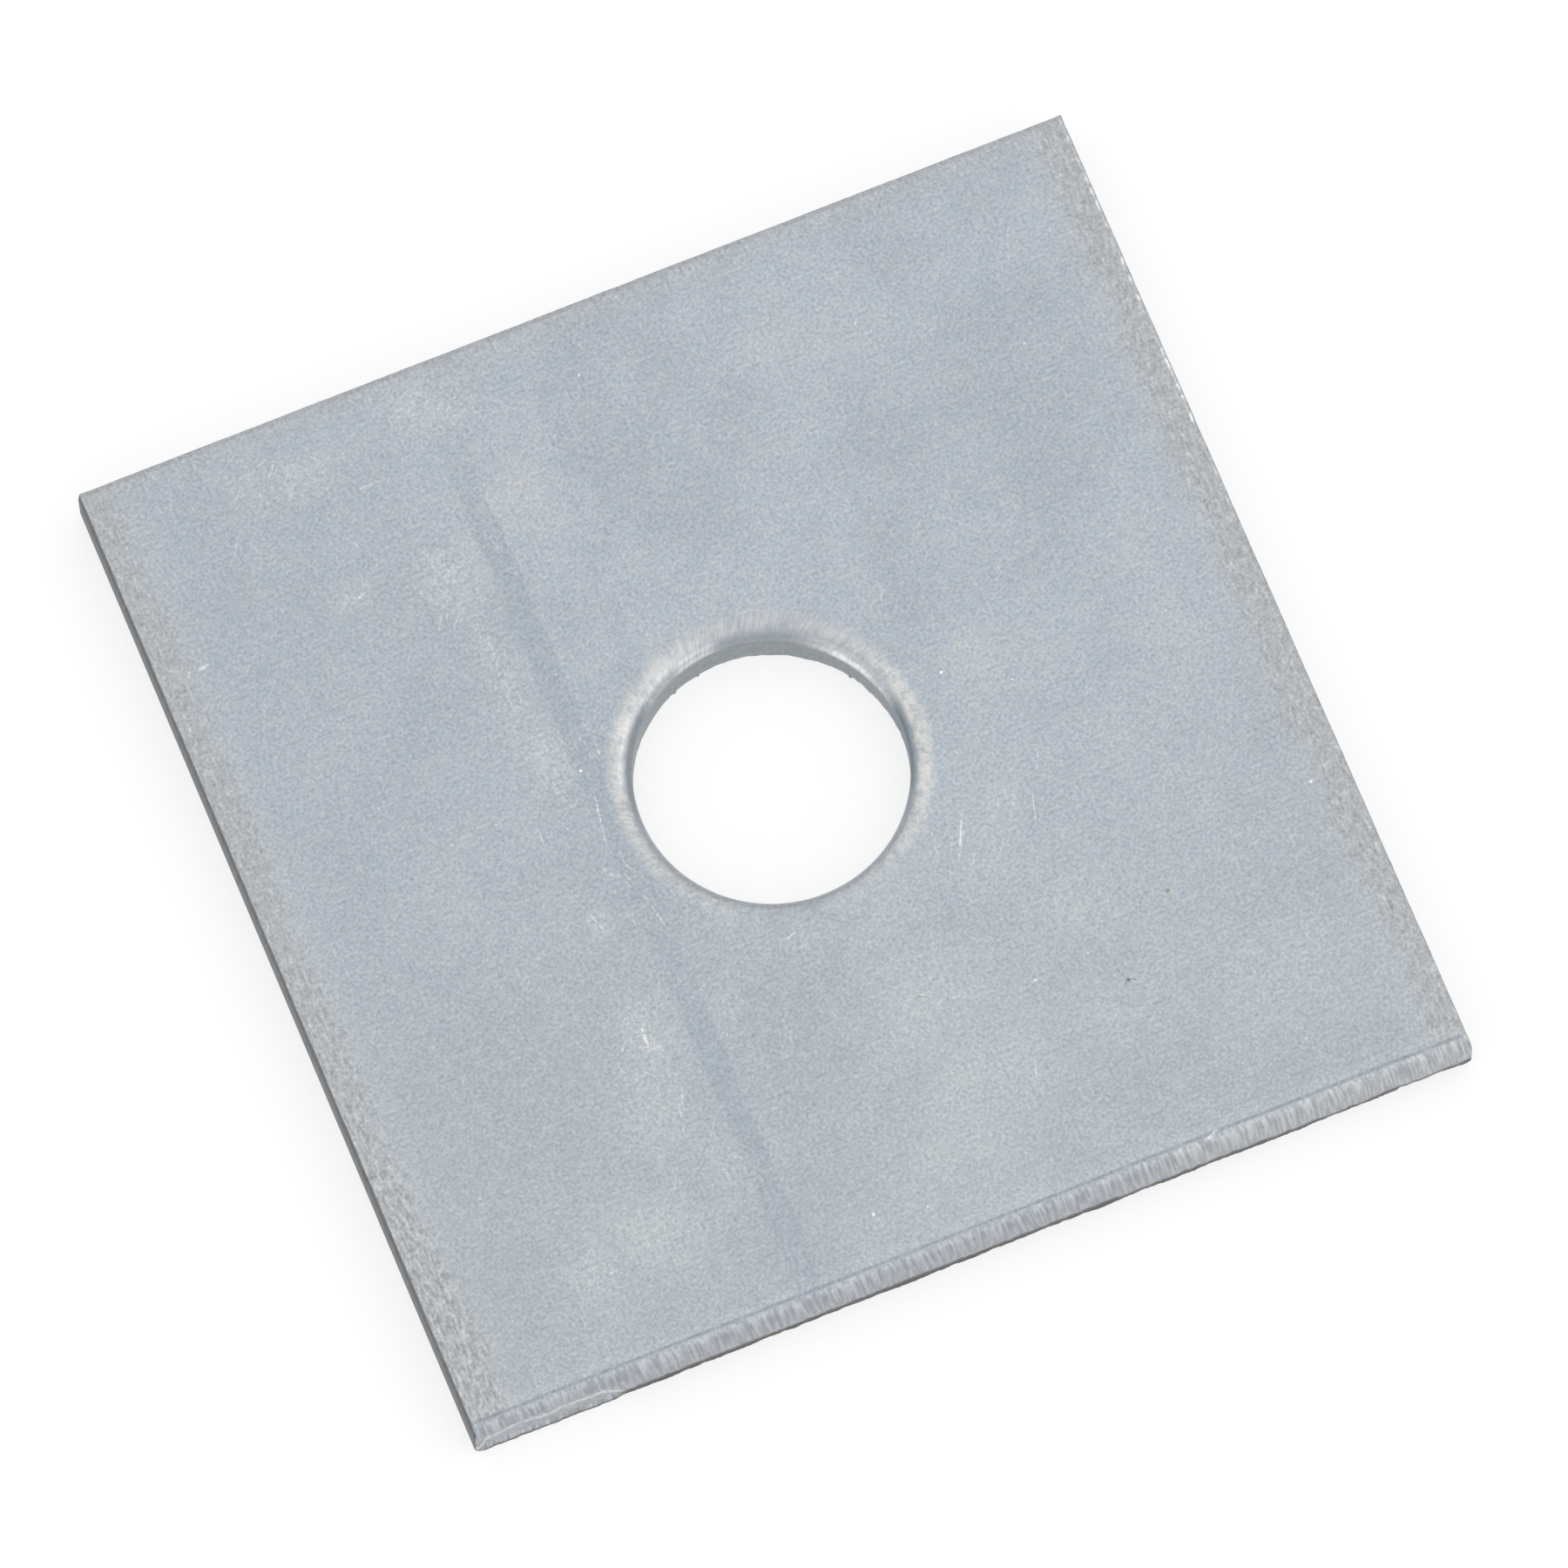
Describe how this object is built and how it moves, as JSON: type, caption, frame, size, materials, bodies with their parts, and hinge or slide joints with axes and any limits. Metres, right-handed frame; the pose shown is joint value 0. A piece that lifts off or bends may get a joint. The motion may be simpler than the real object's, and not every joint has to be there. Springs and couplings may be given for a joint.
{
  "type": "square plate washer",
  "caption": "Flat square plate washer of zinc-plated steel with a punched central bolt hole, spreading a nut's load over timber or slotted channel.",
  "frame": {"origin": "on the hole's axis at the bottom face of the plate, at the centre of the square", "axes": "+Z along the hole's axis, out of the face where the hole's rim is rolled; +X along the cropped edges; the cropped edge that is rolled at the top is the front, at -Y"},
  "size_m": [0.05, 0.05, 0.003],
  "materials": {
    "zinc_plate": "matte bluish-grey zinc plating over mild steel sheet, lightly scuffed"
  },
  "bodies": {
    "root": {"plate_washer": "zinc_plate"}
  },
  "joints": []
}
